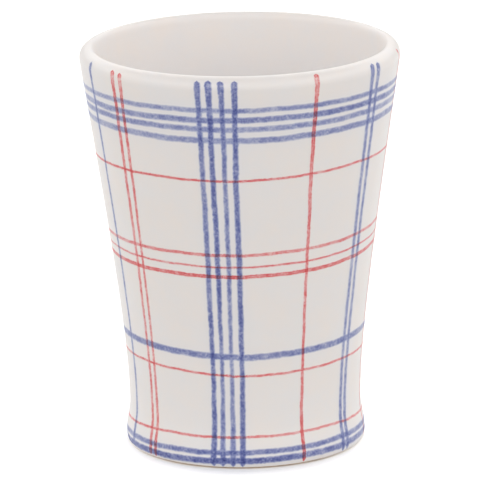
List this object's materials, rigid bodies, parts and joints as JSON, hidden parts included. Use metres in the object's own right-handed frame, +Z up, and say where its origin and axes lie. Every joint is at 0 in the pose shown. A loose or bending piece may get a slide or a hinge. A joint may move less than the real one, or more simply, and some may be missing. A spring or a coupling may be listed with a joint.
{
  "type": "stoneware tumbler",
  "caption": "Handleless flared stoneware tumbler with a thick rounded lip, a swollen foot and a hand-painted blue and red plaid.",
  "frame": {"origin": "centre of the foot ring, at the level of the table", "axes": "+Z up along the axis of the cup; -Y is the front, with the four blue upright strokes; +X is to the right of the front"},
  "size_m": [0.0859, 0.0862, 0.109],
  "materials": {
    "fired_clay": "bare fired stoneware, matt",
    "white_glaze": "warm white satin glaze",
    "blue_pigment": "cobalt blue brushed under the glaze, soft edged",
    "red_pigment": "brick red drawn dry, grainy edged"
  },
  "bodies": {
    "root": {"stoneware_body": "fired_clay", "glaze_coat": "white_glaze", "base_glaze": "white_glaze", "blue_rim_bands": "blue_pigment", "red_upper_band": "red_pigment", "red_middle_bands": "red_pigment", "blue_middle_band": "blue_pigment", "red_lower_band": "red_pigment", "red_foot_band": "red_pigment", "blue_foot_bands": "blue_pigment", "blue_stripe_left": "blue_pigment", "red_pair_left": "red_pigment", "blue_four_front": "blue_pigment", "red_stripe_front": "red_pigment", "blue_pair_right": "blue_pigment", "red_stripe_right": "red_pigment", "blue_four_back": "blue_pigment", "red_pair_back": "red_pigment", "blue_pair_back": "blue_pigment", "red_stripe_back": "red_pigment", "blue_three_back": "blue_pigment", "red_stripe_left": "red_pigment"}
  },
  "joints": []
}
